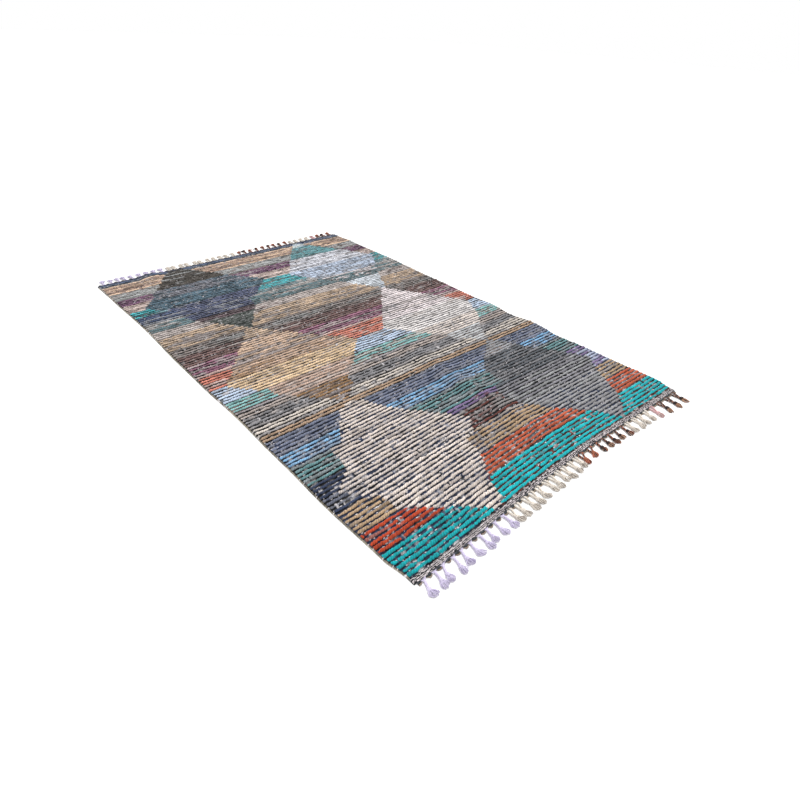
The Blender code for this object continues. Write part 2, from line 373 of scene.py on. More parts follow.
LOZENGES = (
    Lozenge(
        left=((0, 0.255), (5, 0.198), (10.5, 0.120), (11, 0.104), (16, 0.102), (16.5, 0.080), (20.6, 0.040),
              (25, 0.100), (30.5, 0.106), (31, 0.138), (40, 0.212), (41, 0.245)),
        right=((0, 0.262), (1, 0.285), (5, 0.308), (12, 0.368), (15.5, 0.376), (16, 0.408), (20.8, 0.450),
               (25, 0.405), (30, 0.357), (35, 0.310), (40, 0.280), (41, 0.256)),
        bands=(Band(0, 11, Wool.CREAM, Wool.NAVY, Wool.OATMEAL, 0.10, fleck=0.40),
               Band(11, 42, Wool.CREAM, Wool.NAVY, Wool.ROSE_GREY, 0.15, fleck=0.35)),
    ),
    Lozenge(
        left=((0, 0.760), (5, 0.715), (10.5, 0.655), (15, 0.610), (20, 0.580), (25, 0.600), (25.5, 0.642),
              (31, 0.648), (35, 0.690), (41.5, 0.775)),
        right=((0, 0.768), (5.5, 0.835), (10.5, 0.875), (16, 0.912), (20, 0.957), (25, 0.920), (31, 0.872),
               (35, 0.845), (41.5, 0.785)),
        bands=(Band(0, 16, Wool.BLUE_GREY, Wool.NAVY, Wool.FOG, 0.20, fleck=0.45),
               Band(16, 24, Wool.PEWTER, Wool.BLACK, Wool.FOG, 0.18),
               Band(24, 35, Wool.CHARCOAL, Wool.BLACK, Wool.IRON, 0.30),
               Band(35, 42, Wool.SILVER_LILAC, Wool.PEAT, Wool.PEWTER, 0.30)),
    ),
    Lozenge(
        left=((42, 0.246), (52, 0.134), (52.5, 0.125), (56, 0.122), (56.5, 0.095), (61.9, 0.045),
              (83.3, 0.245)),
        right=((42, 0.260), (45.5, 0.298), (46, 0.315), (49, 0.318), (53, 0.370), (62, 0.470), (83.3, 0.252)),
        bands=(Band(42, 50, Wool.AMBER, Wool.PEAT, Wool.STEEL, 0.28, fleck=0.45),
               Band(50, 56, Wool.BLUSH_BEIGE, Wool.PEAT, Wool.OATMEAL, 0.28),
               Band(56, 63, Wool.MAIZE, Wool.PEAT, Wool.BRONZE, 0.22),
               Band(63, 68, Wool.BRONZE, Wool.PEAT, Wool.AMBER, 0.28),
               Band(68, 78, Wool.TAN, Wool.PEAT, Wool.STEEL, 0.22),
               Band(78, 84, Wool.FAWN, Wool.PEAT, Wool.SAND, 0.25)),
    ),
    Lozenge(
        left=((42, 0.775), (45.5, 0.740), (46, 0.712), (49.6, 0.708), (53, 0.665), (62, 0.575),
              (83.2, 0.775)),
        right=((42, 0.785), (52, 0.885), (62, 0.957), (83.2, 0.785)),
        bands=(Band(42, 50, Wool.COOL_WHITE, Wool.PEAT, Wool.PEWTER, 0.22),
               Band(50, 56, Wool.IVORY, Wool.IRON, Wool.ROSE_GREY, 0.25),
               Band(56, 65, Wool.PEARL, Wool.IRON, Wool.ROSE_GREY, 0.18),
               Band(65, 84, Wool.CHALK, Wool.IRON, Wool.ROSE_GREY, 0.18)),
    ),
    Lozenge(
        left=((83.3, 0.252), (94, 0.145), (97, 0.124), (104, 0.120), (105, 0.085), (109, 0.048), (114, 0.112),
              (117, 0.116), (118, 0.135), (130.2, 0.240)),
        right=((83.3, 0.264), (94, 0.345), (98.5, 0.352), (100, 0.385), (109, 0.485), (116, 0.410),
               (130.2, 0.290)),
        bands=(Band(83, 92, Wool.DARK_MOSS, Wool.FOG, Wool.BLACK, 0.20, fleck=0.50),
               Band(92, 95, Wool.BLACK_PLUM, Wool.BLACK, Wool.FOG, 0.12),
               Band(95, 105, Wool.INK_BLUE, Wool.BLACK, Wool.FOG, 0.10, fleck=0.50),
               Band(105, 112, Wool.DEEP_TEAL, Wool.BLACK, Wool.FOG, 0.12, fleck=0.55),
               Band(112, 118, Wool.STEEL, Wool.BLACK, Wool.DEEP_TEAL, 0.35, fleck=0.50),
               Band(118, 131, Wool.OLIVE_BLACK, Wool.BLACK, Wool.FOG, 0.15)),
    ),
    Lozenge(
        left=((83.2, 0.785), (94, 0.685), (106.7, 0.573), (117, 0.655), (130.1, 0.776)),
        right=((83.2, 0.795), (94, 0.862), (106.8, 0.965), (117, 0.892), (130.1, 0.784)),
        bands=(Band(83, 93, Wool.ICE, Wool.FOG, Wool.LAVENDER, 0.25),
               Band(93, 99, Wool.GREY_GREEN, Wool.PEAT, Wool.CHALK, 0.42),
               Band(99, 108, Wool.LAVENDER, Wool.PEWTER, Wool.SILVER_LILAC, 0.28),
               Band(108, 117, Wool.LILAC_WHITE, Wool.STEEL, Wool.ROSE_GREY, 0.15),
               Band(117, 126, Wool.POOL, Wool.PEAT, Wool.GREY_GREEN, 0.25),
               Band(126, 131, Wool.PALE_STEEL, Wool.STEEL, Wool.LAVENDER, 0.20)),
    ),
)


ALL_BANDS = BANDS + tuple(band for lozenge in LOZENGES for band in lozenge.bands)


@dataclass(frozen=True)
class Weft:
    """One weft of an end strip: its yarn, and how much of it a second yarn covers in flecks."""

    wool: Wool
    second: Wool
    share: float


# From the strip's outer edge inwards
NEAR_WEFTS = (
    Weft(Wool.BLACK, Wool.CHALK, 0.45),
    Weft(Wool.CHALK, Wool.BLACK, 0.30),
    Weft(Wool.BLACK, Wool.CHALK, 0.25),
    Weft(Wool.CHALK, Wool.IRON, 0.25),
    Weft(Wool.BLACK, Wool.CHALK, 0.15),
    Weft(Wool.CHALK, Wool.BLACK, 0.30),
    Weft(Wool.IRON, Wool.CHALK, 0.45),
    Weft(Wool.ROSE_GREY, Wool.BLACK, 0.45),
)
FAR_WEFTS = (
    Weft(Wool.NIGHT_BLUE, Wool.BLACK, 0.45),
    Weft(Wool.BLACK, Wool.NIGHT_BLUE, 0.45),
    Weft(Wool.NIGHT_BLUE, Wool.BLACK, 0.40),
    Weft(Wool.NIGHT_BLUE, Wool.STEEL, 0.25),
    Weft(Wool.BLACK, Wool.NIGHT_BLUE, 0.50),
    Weft(Wool.NIGHT_BLUE, Wool.BLACK, 0.40),
    Weft(Wool.NIGHT_BLUE, Wool.STEEL, 0.30),
    Weft(Wool.BLACK, Wool.NIGHT_BLUE, 0.50),
)


@dataclass
class Spinning:
    """Draws the unevenness of a set of yarns, one row of random values for each yarn.

    Attributes:
        chance: Where the random numbers come from.
        count: The number of yarns.
        metres: Where along the yarns the values are wanted.
    """

    chance: np.random.Generator
    count: int
    metres: np.ndarray

    def steady(self) -> np.ndarray:
        """One value for the whole of each yarn."""
        return self.chance.normal(0.0, 1.0, (self.count, 1))

    def rough(self) -> np.ndarray:
        """A new value at every point."""
        return self.chance.normal(0.0, 1.0, (self.count, len(self.metres)))

    def drift(self, spacing: float) -> np.ndarray:
        """Smooth values, mostly between -1 and 1, that change over a distance in millimetres."""
        at = self.metres / (spacing * MM)
        first = np.floor(at).astype(int)
        share = at - first
        share = share * share * (3 - 2 * share)
        knots = self.chance.normal(0.0, 0.5, (self.count, int(at.max()) + 3))
        return knots[:, first] * (1 - share) + knots[:, first + 1] * share

    def add_drifts(self, start: np.ndarray | float, drifts: Drifts) -> np.ndarray:
        """Adds smooth unevenness of several lengths.

        Args:
            start: What it is added to.
            drifts: How strong each is, and the millimetres over which it changes.

        Returns:
            An array of yarns by points.
        """
        for strength, spacing in drifts:
            start = start + strength * self.drift(spacing)
        return start


# The lines of points along a yarn: how far each is from the yarn's middle, as a share of half its
# width, and how high, as a share of its height
FINE_YARN = ((-1.00, 0.00), (-0.55, 0.85), (0.55, 0.85), (1.00, 0.00))
ROUND_YARN = (
    (-1.00, 0.00),
    (-1.04, 0.48),
    (-0.62, 0.90),
    (0.00, 1.00),
    (0.62, 0.90),
    (1.04, 0.48),
    (1.00, 0.00),
)


@dataclass
class Weave:
    """The yarns of one stretch of weave: their places, sizes and colours at every column of points.

    Attributes:
        across: The columns' shares of the width.
        middle: The middle line of each yarn, in rib numbers; an array of yarns by columns.
        half_width: Half of each yarn's width, in rib numbers.
        height: How high each yarn stands, in metres.
        yarn: The yarn's linear colour, an array of yarns by columns by 3.
        ground: The linear colour of the ground beside it.
        profile: The lines of points along each yarn.
    """

    across: np.ndarray
    middle: np.ndarray
    half_width: np.ndarray
    height: np.ndarray
    yarn: np.ndarray
    ground: np.ndarray
    profile: tuple[tuple[float, float], ...] = ROUND_YARN

    def part(self, first: int, last: int) -> Weave:
        """The yarns from first up to last, as a weave of their own."""
        by_yarn = ("middle", "half_width", "height", "yarn", "ground")
        return replace(self, **{name: getattr(self, name)[first:last] for name in by_yarn})


@dataclass
class RibWeaver:
    """Lays the wool ribs of the field by the chart of bands and lozenges.

    Attributes:
        column_step: The distance between columns of points: a third of a bead.
        bead: The length of yarn between two of the threads that tie it down.
        half_width: Half of a rib's width, as a share of the ribs' pitch.
        height: How high a rib stands over the ground.
        selvage: The width of the edge at each side, where the ribs sink into the ground.
        tied_down: How much darker, lower and thinner the yarn is where a thread ties it down.
        rough: How much its height and its width vary from point to point.
        uneven: How uneven the dye is at the near end, a third of the way along, and at the far end.
        near_ribs: How many ribs the loosest bands have, at the near end.
        breaks_near: How often one of those sinks into the ground, at most.
        breaks_beyond: How often any other rib does.
        stretches: The unevenness that spreads the second yarn.
        dye: That of the dye.
        turns: That of the ties' places, in beads.
        thickness: That of the yarn's thickness.
        wander: That of a rib's middle line, in ribs.
        seed: Where its random numbers start.
    """

    column_step: float = 4.3 * MM
    bead: float = 12.9 * MM
    half_width: float = 0.300
    height: float = 6.0 * MM
    selvage: float = 4.0 * MM
    tied_down: tuple[float, float, float] = (0.14, 0.12, 0.05)
    rough: tuple[float, float] = (0.10, 0.12)
    uneven: tuple[float, float, float] = (0.8, 1.0, 1.7)
    near_ribs: int = 11
    breaks_near: int = 7
    breaks_beyond: int = 4
    stretches: Drifts = ((0.70, 140), (0.45, 20))
    dye: Drifts = ((0.26, 42), (0.12, 12))
    turns: Drifts = ((0.35, 50),)
    thickness: Drifts = ((0.20, 18), (0.22, 70))
    wander: Drifts = ((0.09, 45), (0.08, 12))
    seed: int = 7

    def columns(self) -> np.ndarray:
        """The columns' shares of the width, closer together at the selvages."""
        inner = np.arange(self.selvage, CLOTH.width - self.selvage, self.column_step)
        edge = np.array([0.0, 1.2 * MM, 2.6 * MM])
        return np.concatenate([edge, inner, (CLOTH.width - edge)[::-1]]) / CLOTH.width

    def charted(self, chance: random.Random, rib: int, across: np.ndarray) -> np.ndarray:
        """Reads one rib of the chart.

        Args:
            chance: Where the random numbers come from.
            rib: The rib's number.
            across: The columns' shares of the width.

        Returns:
            The index of each column's band in the list of all bands.
        """
        chosen = np.zeros(len(across), int)
        middle = rib + 0.5
        for number, band in enumerate(BANDS):
            if band.start <= middle < band.end:
                chosen[(across >= band.left) & (across <= band.right)] = number
        number = len(BANDS)
        for lozenge in LOZENGES:
            left, right = (edge + chance.uniform(-0.003, 0.003) for edge in lozenge.edges(middle))
            is_here = lozenge.left[0][0] <= middle <= lozenge.left[-1][0]
            for band in lozenge.bands:
                if is_here and band.start <= middle < band.end:
                    chosen[(across > left) & (across < right)] = number
                number += 1
        return chosen

    def weave(self) -> Weave:
        """Lays all ribs of the field."""
        steps = random.Random(self.seed)
        across = self.columns()
        metres = across * CLOTH.width
        inwards = np.minimum(metres, CLOTH.width - metres)
        ribs = np.arange(CLOTH.rib_count)[:, None]
        spun = Spinning(np.random.default_rng(self.seed), CLOTH.rib_count, metres)
        chart = np.stack([self.charted(steps, rib, across) for rib in range(CLOTH.rib_count)])
        yarns, seconds, ground = (
            np.array([linear(dye) for dye in dyes])[chart]
            for dyes in zip(*((band.wool, band.second, band.ground) for band in ALL_BANDS))
        )
        shares, full, flecks = (
            np.array(values)[chart]
            for values in zip(*((band.share, band.full, band.fleck) for band in ALL_BANDS))
        )
        taken = self.taken_over(spun, shares)
        tone = self.dye_tone(spun, ribs[:, 0])
        turn = spun.add_drifts(metres / self.bead + 0.5 * (ribs % 2), self.turns)
        tied = (0.5 + 0.5 * np.cos(2 * math.pi * turn)) ** 2
        colour = yarns * (1 - taken) + seconds * taken
        darker, lower, thinner = self.tied_down
        colour = colour * np.clip(tone * (1 - darker * tied), 0.2, 1.6)[..., None]

        rough = spun.rough()
        thick = spun.add_drifts(1.0, self.thickness)
        selvage = np.clip(inwards / self.selvage - 0.35, 0.0, 1.0)
        height = self.height * np.clip(thick, 0.6, 1.35) * (1 - lower * tied + self.rough[0] * rough)
        height = height * self.breaks(steps, metres) * selvage
        # The width follows the thickness only in part, because a thick yarn stands up more
        half_width = self.half_width * full * (0.35 + 0.65 * thick)
        half_width = half_width * (1 - thinner * tied + self.rough[1] * rough)
        middle = spun.add_drifts(ribs + 0.5, self.wander)
        ground = self.speckled(spun, ground, flecks, inwards)
        return Weave(across, middle, np.clip(half_width, 0.12, 0.44), height, colour, ground)

    def taken_over(self, spun: Spinning, shares: np.ndarray) -> np.ndarray:
        """How much the second yarn covers, in stretches that make up its share of the length."""
        # The lowest places are taken, by their rank, and blend in at their ends
        stretch = spun.add_drifts(0.50 * spun.steady(), self.stretches)
        rank = stretch.ravel().argsort().argsort().reshape(stretch.shape) / stretch.size
        taken = 0.70 * np.clip((shares - rank) * 6.0 + 0.5, 0.0, 1.0) * ramp(shares, 0.0, 20.0)
        return taken[..., None]

    def dye_tone(self, spun: Spinning, ribs: np.ndarray) -> np.ndarray:
        """How light the dye is at every point, by its lot and its stains: 1 is its own colour."""
        uneven = np.interp(ribs, (0, 45, CLOTH.rib_count), self.uneven)[:, None]
        lot = spun.add_drifts(0.08 * spun.steady(), self.dye)
        stain = ramp(spun.drift(18), 0.50, 3.0)
        return np.clip(1.0 + uneven * lot, 0.4, 1.6) * (1 - 0.35 * uneven * stain)

    def speckled(
        self, spun: Spinning, ground: np.ndarray, flecks: np.ndarray, inwards: np.ndarray
    ) -> np.ndarray:
        """Varies the ground along each gap, where pale and dark threads come up, and binds its sides.

        Args:
            spun: Draws the yarns' unevenness.
            ground: The ground's colour at every point.
            flecks: How strongly pale threads show at every point.
            inwards: Each column's distance from the nearer side.

        Returns:
            The varied colour at every point.
        """
        # Pale threads stay away from the sides, and both kinds come up about every 14 mm
        pale = ramp(spun.drift(14), 0.26, 6.0) * flecks
        pale = (pale * np.clip(inwards / (9 * MM) - 0.4, 0.0, 1.0))[..., None]
        dark = 0.85 * ramp(spun.drift(14), 0.05, 4.0)[..., None]
        ground = (ground * (1 - pale) + linear(Wool.WHITE_FLECK) * pale) * (1 - dark)
        # The last 2 mm are bound in a grey-brown yarn, lighter and darker from point to point
        edge = np.clip(1.6 - inwards / (2.0 * MM), 0.0, 1.0)[:, None]
        bound = linear(Wool.DRIFTWOOD) * spun.chance.uniform(0.3, 1.4, (*flecks.shape, 1))
        return ground * (1 - edge) + bound * edge

    def breaks(self, chance: random.Random, metres: np.ndarray) -> np.ndarray:
        """Where the yarn sinks into the ground for a moment, as a share of its height."""
        kept = np.ones((CLOTH.rib_count, len(metres)))
        for rib in range(CLOTH.rib_count):
            most = self.breaks_near if rib < self.near_ribs else self.breaks_beyond
            for _ in range(chance.randint(1, most)):
                middle = chance.uniform(0.0, CLOTH.width)
                reach = chance.uniform(2.5, 5.0) * MM * 2
                kept[rib] *= 1 - chance.uniform(0.45, 0.9) * swell((metres - middle) / reach)
        return kept


@dataclass
class StripWeaver:
    """Lays the fine wefts of an end strip.

    Attributes:
        start: The rib number at which the strip begins, towards the near end.
        wefts: Its wefts, from the near end on.
        height: How high a weft stands over the ground.
        column_step: The distance between columns of points.
        seed: Where its random numbers start.
    """

    start: float
    wefts: tuple[Weft, ...]
    height: float = 0.9 * MM
    column_step: float = 3.0 * MM
    seed: int = 5

    def weave(self) -> Weave:
        """Lays the wefts, which show flecks of their second yarn every few millimetres."""
        across = np.linspace(0.0, 1.0, round(CLOTH.width / self.column_step) + 1)
        count = len(self.wefts)
        spun = Spinning(np.random.default_rng(self.seed), count, across * CLOTH.width)
        step = CLOTH.end_strip / CLOTH.pitch / count
        shape = (count, len(across))
        yarns, seconds = (
            np.array([linear(dye) for dye in dyes])[:, None]
            for dyes in zip(*((weft.wool, weft.second) for weft in self.wefts))
        )
        shares = np.array([weft.share for weft in self.wefts])[:, None]
        taken = np.clip((spun.drift(5) + shares * 1.6 - 0.8) * 4.0 + 0.5, 0.0, 1.0)[..., None]
        height = self.height * (1.0 + 0.5 * spun.drift(7))
        middle = self.start + step * (np.arange(count)[:, None] + 0.5)
        return Weave(
            across,
            middle + 0.1 * step * spun.drift(20),
            np.full(shape, 0.42 * step),
            np.clip(height, 0.2 * MM, 1.5 * MM),
            yarns * (1 - taken) + seconds * taken,
            np.broadcast_to(linear(Wool.BLACK), (*shape, 3)),
            FINE_YARN,
        )


def closed_grid(columns: int, rows: int) -> bmesh.types.BMesh:
    """A flat grid of faces over a floor of its outline, closed all round.

    Args:
        columns: The number of faces across.
        rows: The number of faces along.

    Returns:
        The mesh, from -1 to 1 in X and Y, its top at a Z of 0 and its floor at -1.
    """
    bm = bmesh.new()
    bmesh.ops.create_grid(bm, x_segments=columns, y_segments=rows, size=1.0)
    rim = [edge for edge in bm.edges if edge.is_boundary]
    for item in bmesh.ops.extrude_edge_only(bm, edges=rim)["geom"]:
        if isinstance(item, bmesh.types.BMVert):
            item.co.z = -1.0
    floor_rim = [edge for edge in bm.edges if edge.is_boundary]
    bmesh.ops.edgeloop_fill(bm, edges=floor_rim)
    for edge in rim + floor_rim:
        edge.smooth = False
    bmesh.ops.recalc_face_normals(bm, faces=bm.faces)
    for face in bm.faces:
        face.smooth = True
    return bm


def point_attribute(mesh: bpy.types.Mesh, name: str, kind: str, values: np.ndarray) -> None:
    """Stores one value for each point of a mesh.

    Args:
        mesh: The mesh.
        name: The attribute's name.
        kind: Its data type.
        values: The values, in the points' order.
    """
    key = {"FLOAT": "value", "FLOAT_VECTOR": "vector", "FLOAT_COLOR": "color"}[kind]
    attribute = mesh.attributes.new(name, kind, "POINT")
    attribute.data.foreach_set(key, np.ascontiguousarray(values, np.float32).ravel())


@dataclass
class WovenPiece:
    """A stretch of the cloth, made of the yarns that lie on it.

    Attributes:
        name: The piece's name.
        start: The rib number at which it begins.
        end: The rib number at which it ends.
        weave: Its yarns.
        floor: How far its underside follows the cloth's lift: 0 where it fills down to the floor.
        ground: How high its ground lies over its underside.
    """

    name: str
    start: float
    end: float
    weave: Weave
    floor: float = 0.0
    ground: float = CLOTH.ground_height

    def build(self, finish: Finish) -> bpy.types.Object:
        """Makes the piece.

        Args:
            finish: The finish that it gets.

        Returns:
            The new object.
        """
        weave = self.weave
        yarns = len(weave.middle)
        columns = len(weave.across) - 1
        lines = len(weave.profile)
        rows = yarns * lines + 1
        bm = closed_grid(columns, rows)
        mesh = bpy.data.meshes.new(self.name)
        bm.to_mesh(mesh)
        bm.free()
        corner = np.empty(len(mesh.vertices) * 3, np.float32)
        mesh.vertices.foreach_get("co", corner)
        corner = corner.reshape(-1, 3)
        column = np.rint((corner[:, 0] + 1) / 2 * columns).astype(int)
        row = np.rint((corner[:, 1] + 1) / 2 * rows).astype(int)
        is_floor = corner[:, 2] < -0.5
        is_end = (row == 0) | (row == rows)
        yarn = np.clip((row - 1) // lines, 0, yarns - 1)
        side, level = np.array(weave.profile)[(row - 1) % lines].T
        level = np.where(is_end, 0.0, level)
        rib = weave.middle[yarn, column] + weave.half_width[yarn, column] * side
        rib = np.clip(rib, self.start, self.end)
        rib = np.where(is_end | is_floor, self.start + (self.end - self.start) * row / rows, rib)
        across = weave.across[column]
        x, y, lift = CLOTH.places(across, rib)
        height = weave.height[yarn, column] * level
        z = np.where(is_floor, lift * self.floor, self.ground + lift + height)
        mesh.vertices.foreach_set("co", np.stack([x, y, z], 1).astype(np.float32).ravel())
        reach = height / max(float(np.median(weave.height)), 1e-6)
        opaque = np.ones((len(corner), 1))
        for name, colour in (("yarn_colour", weave.yarn), ("ground_colour", weave.ground)):
            point_attribute(mesh, name, "FLOAT_COLOR", np.hstack([colour[yarn, column], opaque]))
        point_attribute(mesh, "pile", "FLOAT", np.where(is_floor, 0.0, reach))
        place = np.stack([across * CLOTH.width, rib * CLOTH.pitch, np.zeros(len(rib))], 1)
        point_attribute(mesh, "cloth", "FLOAT_VECTOR", place)
        mesh.update()
        piece = placed(self.name, mesh)
        mesh.materials.append(finish.material())
        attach(piece, BODY)
        log.info("%s: %d points", self.name, len(mesh.vertices))
        return piece


def add_node(
    tree: bpy.types.NodeTree, kind: str, inputs: dict[str | int, object] | None = None, **settings: object
) -> bpy.types.NodeOutputs:
    """Adds a node with its settings and links.

    Args:
        tree: The material's node tree.
        kind: The node's type.
        inputs: A value for each named or numbered socket, or the socket that feeds it.
        settings: The node's own properties.

    Returns:
        The new node's outputs.
    """
    node = tree.nodes.new(kind)
    for name, value in settings.items():
        setattr(node, name, value)
    for socket, value in (inputs or {}).items():
        if isinstance(value, bpy.types.NodeSocket):
            tree.links.new(value, node.inputs[socket])
        else:
            node.inputs[socket].default_value = value
    return node.outputs


def add_math(tree: bpy.types.NodeTree, operation: str, *values: object) -> bpy.types.NodeSocket:
    """The result of a sum of numbers, or of the sockets that feed it."""
    return add_node(tree, "ShaderNodeMath", dict(enumerate(values)), operation=operation)[0]


def add_mix(tree: bpy.types.NodeTree, share: object, *colours: object) -> bpy.types.NodeSocket:
    """A mix of two colours, each a dye, four linear numbers or a socket, by the second's share."""
    first, second = ((*linear(dye), 1.0) if isinstance(dye, Wool) else dye for dye in colours)
    return add_node(tree, "ShaderNodeMix", {0: share, 6: first, 7: second}, data_type="RGBA")[2]


def add_noise(tree: bpy.types.NodeTree, place: object, grain: float, detail: float, **more: float) -> object:
    """Smooth noise at a place, by the size of its largest grains and how many finer sizes it has."""
    inputs = {"Vector": place, "Scale": 1.0 / grain, "Detail": detail}
    return add_node(tree, "ShaderNodeTexNoise", inputs | more)["Fac"]


def add_scale(tree: bpy.types.NodeTree, colour: object, amount: object) -> bpy.types.NodeSocket:
    """A colour times an amount."""
    return add_node(tree, "ShaderNodeVectorMath", {0: colour, "Scale": amount}, operation="SCALE")[0]


@dataclass(frozen=True)
class Finish:
    """What every finish has: its name, its gloss, and how strong and how deep its relief is."""

    name: str
    roughness: float = 0.95
    sheen: float = 0.05
    relief: float = 0.7
    depth: float = 0.4 * MM

    def material(self) -> bpy.types.Material:
        """The finish's material, made once and then shared."""
        known = bpy.data.materials.get(self.name)
        if known:
            return known
        material = bpy.data.materials.new(self.name)
        material.use_nodes = True
        shader = material.node_tree.nodes["Principled BSDF"]
        shader.inputs["Roughness"].default_value = self.roughness
        shader.inputs["Sheen Weight"].default_value = self.sheen
        shader.inputs["Sheen Roughness"].default_value = 0.6
        shader.inputs["Specular IOR Level"].default_value = 0.25
        self.dress(material.node_tree, shader)
        return material

    def dress(self, tree: bpy.types.NodeTree, shader: bpy.types.Node) -> None:
        """Adds the finish's own nodes."""

    def emboss(self, tree: bpy.types.NodeTree, shader: bpy.types.Node, height: object) -> None:
        """Gives the shader a relief from a height."""
        inputs = {"Height": height, "Strength": self.relief, "Distance": self.depth}
        tree.links.new(add_node(tree, "ShaderNodeBump", inputs)[0], shader.inputs["Normal"])


@dataclass(frozen=True)
class RibbedWool(Finish):
    """Hand-spun wool laid in ribs over a speckled plain weave: matt, fuzzy, and uneven in its dye.

    Attributes:
        twist: The distance between the turns of a rib's yarn.
        ply_lean: The angle between its plies and the rib.
        lump: The size of its soft lumps.
        fuzz: The size of its fuzz.
        thread: How thick one thread of the ground is.
        drawn_out: That thickness as a share of the length that shows.
        fleck_share: The share of its threads that are pale, all over the ground.
        painted_shade_top: The share of the rib's height up to which only the ground's colour shows: painted
            shade on the lower sides of the ribs.
        painted_shade_end: The share from which only the yarn's does, above the painted shade.
    """

    relief: float = 0.9
    depth: float = 0.5 * MM
    twist: float = 7.0 * MM
    ply_lean: float = math.radians(38)
    lump: float = 5.0 * MM
    fuzz: float = 1.2 * MM
    thread: float = 2.5 * MM
    drawn_out: float = 0.35
    fleck_share: float = 0.05
    painted_shade_top: float = 0.34
    painted_shade_end: float = 0.78

    def dress(self, tree: bpy.types.NodeTree, shader: bpy.types.Node) -> None:
        """Mixes the speckled ground and the twisted yarn by how high the yarn stands, which paints the
        ground's dark colour up the ribs' lower sides as shade between them.
        """
        outputs = {"cloth": "Vector", "yarn_colour": "Color", "ground_colour": "Color", "pile": "Fac"}
        cloth, yarn, ground, pile = (
            add_node(tree, "ShaderNodeAttribute", attribute_name=name)[output]
            for name, output in outputs.items()
        )
        inputs = {"Vector": cloth, "Scale": (self.drawn_out, 1.0, 1.0)}
        long = add_node(tree, "ShaderNodeMapping", inputs)[0]
        inputs = {"Vector": long, "Scale": 1.0 / self.thread, "Randomness": 0.8}
        threads = add_node(tree, "ShaderNodeTexVoronoi", inputs, voronoi_dimensions="2D")
        pick = add_node(tree, "ShaderNodeSeparateColor", {"Color": threads["Color"]})
        inputs = {"Value": pick["Green"], "To Min": 0.6, "To Max": 1.4}
        shaded = add_scale(tree, ground, add_node(tree, "ShaderNodeMapRange", inputs)[0])
        is_fleck = add_math(tree, "LESS_THAN", pick["Red"], self.fleck_share)
        speckled = add_mix(tree, is_fleck, shaded, Wool.WHITE_FLECK)

        inputs = {"Vector": cloth, "Rotation": (0.0, 0.0, self.ply_lean)}
        turned = add_node(tree, "ShaderNodeMapping", inputs)[0]
        inputs = {"Vector": turned, "Scale": WAVE_LENGTH / self.twist, "Distortion": 3.0, "Detail": 2.0}
        plies = add_node(tree, "ShaderNodeTexWave", inputs | {"Detail Scale": 1.5})["Fac"]
        inputs = {"Vector": cloth, "Scale": 1.0 / self.lump, "Detail": 3.0, "Roughness": 0.6}
        lumps = add_node(tree, "ShaderNodeTexNoise", inputs, noise_dimensions="2D")["Fac"]
        # Painted shade: the yarn's colour follows the plies' wave, darker in the twist's grooves where its
        # relief is low
        tone = add_math(tree, "MULTIPLY_ADD", plies, 0.40, 0.25)
        spun = add_scale(tree, yarn, add_math(tree, "MULTIPLY_ADD", lumps, 1.15, tone))

        # Painted shade: below this height the yarn's sides take the ground's dark colour, as shade between
        # the ribs; the same share picks the ground's or the yarn's relief
        inputs = {"Value": pile, "From Min": self.painted_shade_top, "From Max": self.painted_shade_end}
        yarn_over_painted_shade = add_node(tree, "ShaderNodeMapRange", inputs, interpolation_type="SMOOTHSTEP")[0]
        inputs = {0: yarn_over_painted_shade, 2: threads["Distance"], 3: plies}
        relief = add_node(tree, "ShaderNodeMix", inputs, data_type="FLOAT")[0]
        fuzz = add_noise(tree, cloth, self.fuzz, 2.0)
        self.emboss(tree, shader, add_math(tree, "MULTIPLY_ADD", fuzz, 0.6, relief))
        tree.links.new(add_mix(tree, yarn_over_painted_shade, speckled, spun), shader.inputs["Base Color"])


@dataclass(frozen=True)
class SpunYarn(Finish):
    """Soft spun yarn of the tassels: matt, and streaked with a second shade.

    Attributes:
        dye: The yarn's colour.
        shade: The second colour, streaked over it at random.
        streak: The size of its streaks.
        fibre: How far apart the fibres are that roughen it.
    """

    dye: Wool = Wool.UNDYED
    shade: Wool = Wool.OATMEAL
    streak: float = 4.0 * MM
    fibre: float = 0.9 * MM

    def dress(self, tree: bpy.types.NodeTree, shader: bpy.types.Node) -> None:
        """Streaks the yarn with its second shade and roughens it with fibres."""
        place = add_node(tree, "ShaderNodeTexCoord")["Object"]
        streaks = add_noise(tree, place, self.streak, 4.0, Roughness=0.7)
        inputs = {"Value": streaks, "From Min": 0.40, "From Max": 0.68, "To Max": 0.9}
        amount = add_node(tree, "ShaderNodeMapRange", inputs)[0]
        tree.links.new(add_mix(tree, amount, self.dye, self.shade), shader.inputs["Base Color"])
        self.emboss(tree, shader, add_noise(tree, place, self.fibre, 3.0))


@dataclass(frozen=True)
class PaleFloor(Finish):
    """A plain painted floor, almost white.

    Attributes:
        dull: The grey of its darkest places, as a linear number.
        clear: The grey of its lightest.
        cloud: The size of its faint clouds.
    """

    dull: float = 0.90
    clear: float = 0.93
    cloud: float = 1 / 1.5

    def dress(self, tree: bpy.types.NodeTree, shader: bpy.types.Node) -> None:
        """Clouds the white very slightly."""
        place = add_node(tree, "ShaderNodeTexCoord")["Object"]
        greys = ((*[grey] * 3, 1.0) for grey in (self.dull, self.clear))
        clouds = add_noise(tree, place, self.cloud, 2.0)
        tree.links.new(add_mix(tree, clouds, *greys), shader.inputs["Base Color"])


